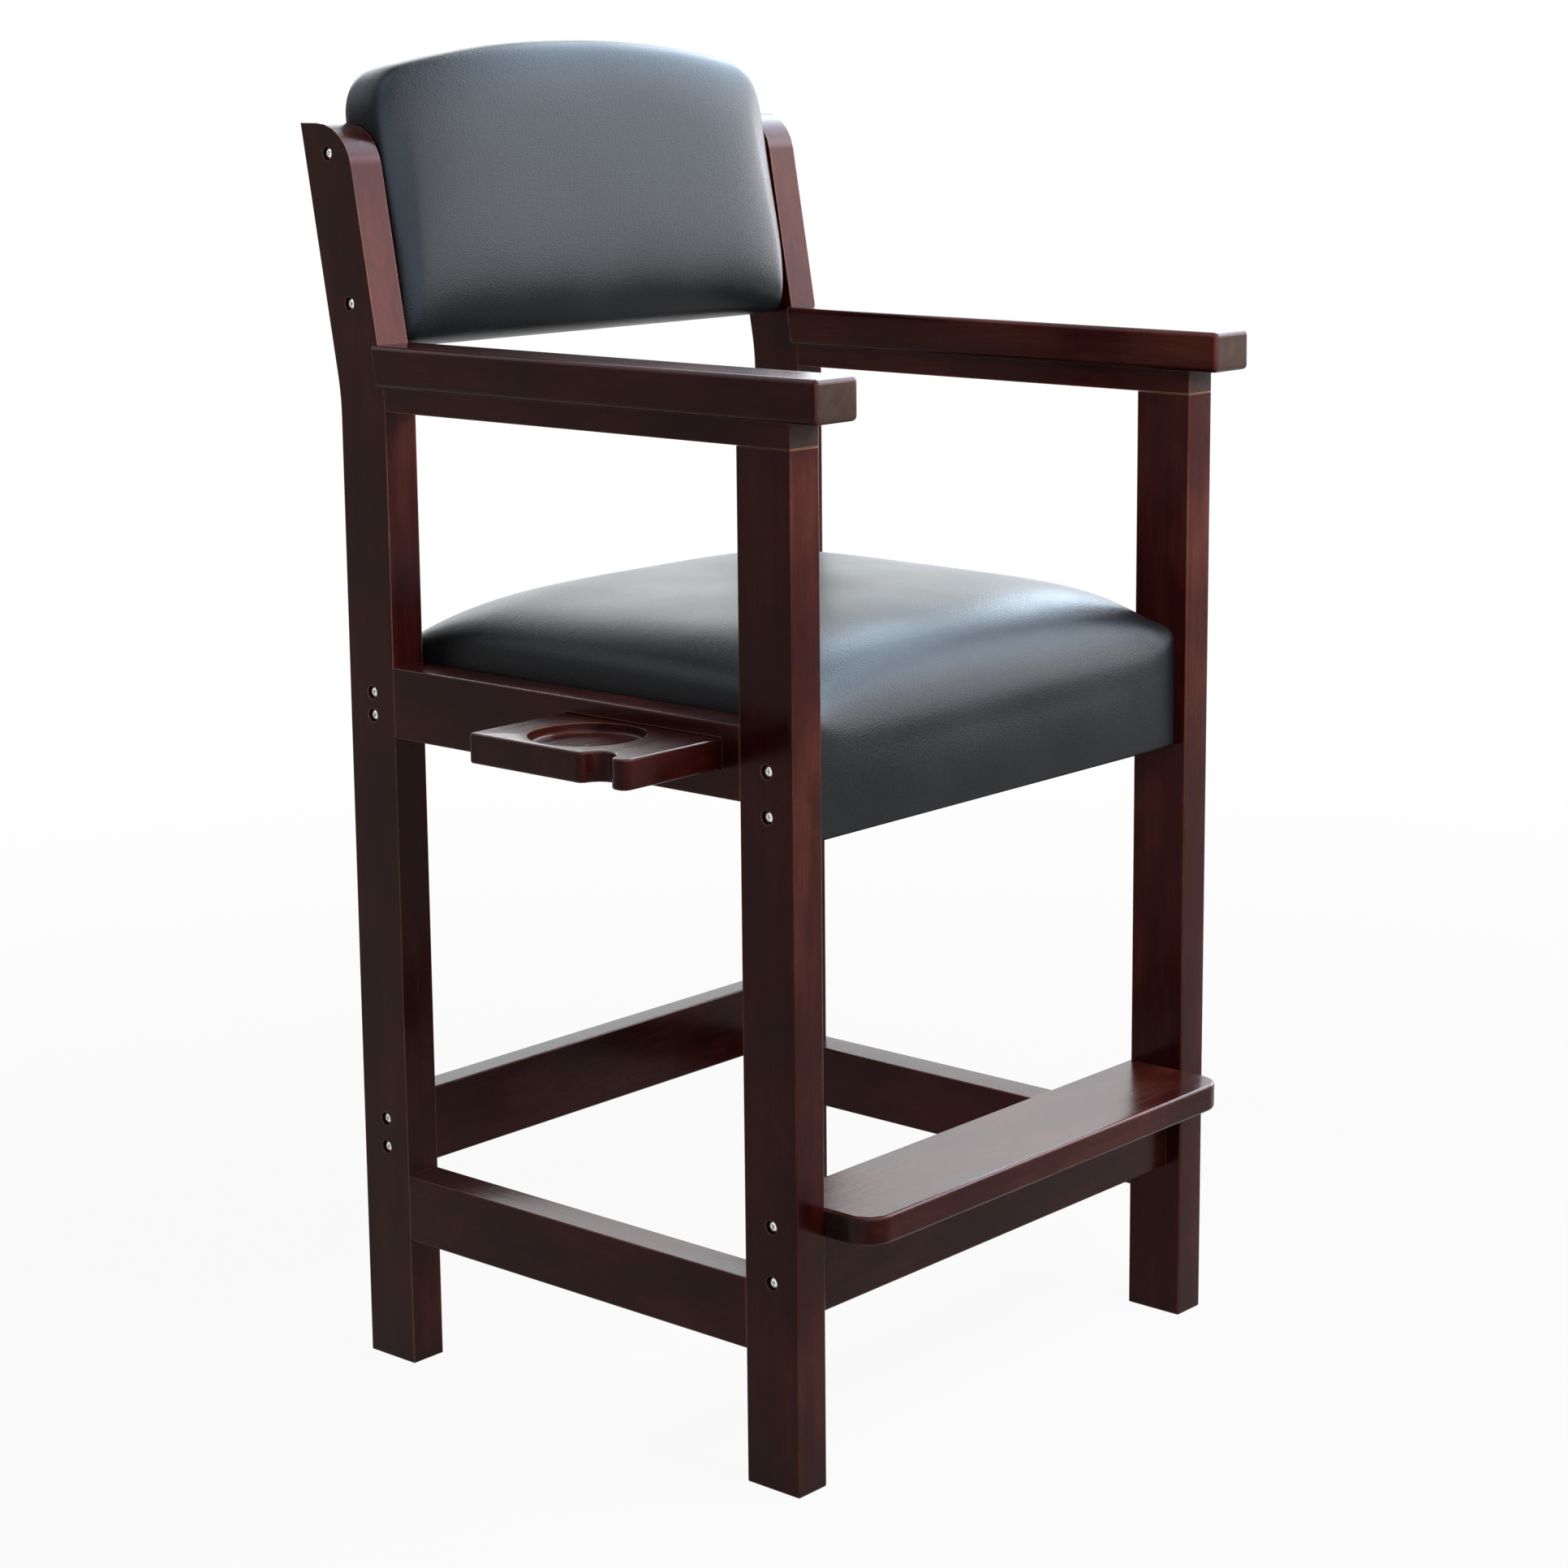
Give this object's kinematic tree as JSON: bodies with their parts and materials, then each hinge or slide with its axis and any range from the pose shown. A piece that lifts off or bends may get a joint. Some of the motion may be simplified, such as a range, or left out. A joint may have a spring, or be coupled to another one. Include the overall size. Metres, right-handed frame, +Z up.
{
  "type": "spectator chair",
  "caption": "Tall wooden spectator chair with a padded black vinyl seat and arched backrest, arms, a footrest, and a side tray that pulls out and has a cup recess and a cue notch.",
  "frame": {"origin": "on the floor, at the centre of the footprint's bounding box with the tray pulled out", "axes": "+Z up; the sitter faces -Y; the tray is on the -X side, the sitter's right"},
  "size_m": [0.7124, 0.6294, 1.2133],
  "materials": {
    "mahogany_stain": "dark red-brown stain under satin lacquer",
    "plywood": "raw plywood, hidden",
    "foam": "open foam, hidden",
    "black_vinyl": "black vinyl with a fine leather grain, satin",
    "zinc_steel": "zinc-plated"
  },
  "bodies": {
    "chair": {"right_front_leg": "mahogany_stain", "right_rear_leg": "mahogany_stain", "right_arm": "mahogany_stain", "right_arm_rail": "mahogany_stain", "right_seat_rail": "mahogany_stain", "right_side_stretcher": "mahogany_stain", "left_front_leg": "mahogany_stain", "left_rear_leg": "mahogany_stain", "left_arm": "mahogany_stain", "left_arm_rail": "mahogany_stain", "left_seat_rail": "mahogany_stain", "left_side_stretcher": "mahogany_stain", "front_stretcher": "mahogany_stain", "rear_stretcher": "mahogany_stain", "footrest": "mahogany_stain", "seat_front_rail": "mahogany_stain", "seat_rear_rail": "mahogany_stain", "backrest_panel": "mahogany_stain", "tray_runner_front": "mahogany_stain", "tray_runner_rear": "mahogany_stain", "tray_back_stop": "mahogany_stain", "seat_board": "plywood", "backrest_board": "plywood", "seat_foam": "foam", "seat_front_pad": "foam", "backrest_foam": "foam", "seat_cover": "black_vinyl", "backrest_cover": "black_vinyl", "right_backrest_upper_screw": "zinc_steel", "right_backrest_lower_screw": "zinc_steel", "right_seat_front_upper_screw": "zinc_steel", "right_seat_front_lower_screw": "zinc_steel", "right_seat_rear_upper_screw": "zinc_steel", "right_seat_rear_lower_screw": "zinc_steel", "right_rear_stretcher_upper_screw": "zinc_steel", "right_rear_stretcher_lower_screw": "zinc_steel", "right_footrest_screw": "zinc_steel", "right_front_stretcher_screw": "zinc_steel", "right_arm_front_screw": "zinc_steel", "right_arm_rear_screw": "zinc_steel", "left_backrest_upper_screw": "zinc_steel", "left_backrest_lower_screw": "zinc_steel", "left_seat_front_upper_screw": "zinc_steel", "left_seat_front_lower_screw": "zinc_steel", "left_seat_rear_upper_screw": "zinc_steel", "left_seat_rear_lower_screw": "zinc_steel", "left_rear_stretcher_upper_screw": "zinc_steel", "left_rear_stretcher_lower_screw": "zinc_steel", "left_footrest_screw": "zinc_steel", "left_front_stretcher_screw": "zinc_steel", "left_arm_front_screw": "zinc_steel", "left_arm_rear_screw": "zinc_steel", "runner_front_outer_screw": "zinc_steel", "runner_front_inner_screw": "zinc_steel", "runner_rear_outer_screw": "zinc_steel", "runner_rear_inner_screw": "zinc_steel"},
    "tray": {"drink_tray": "mahogany_stain", "tray_stop": "mahogany_stain"}
  },
  "joints": [
    {"name": "tray_slide", "type": "slide", "parent": "chair", "child": "tray", "axis": [1, 0, 0], "range_m": [0, 0.114]}
  ]
}
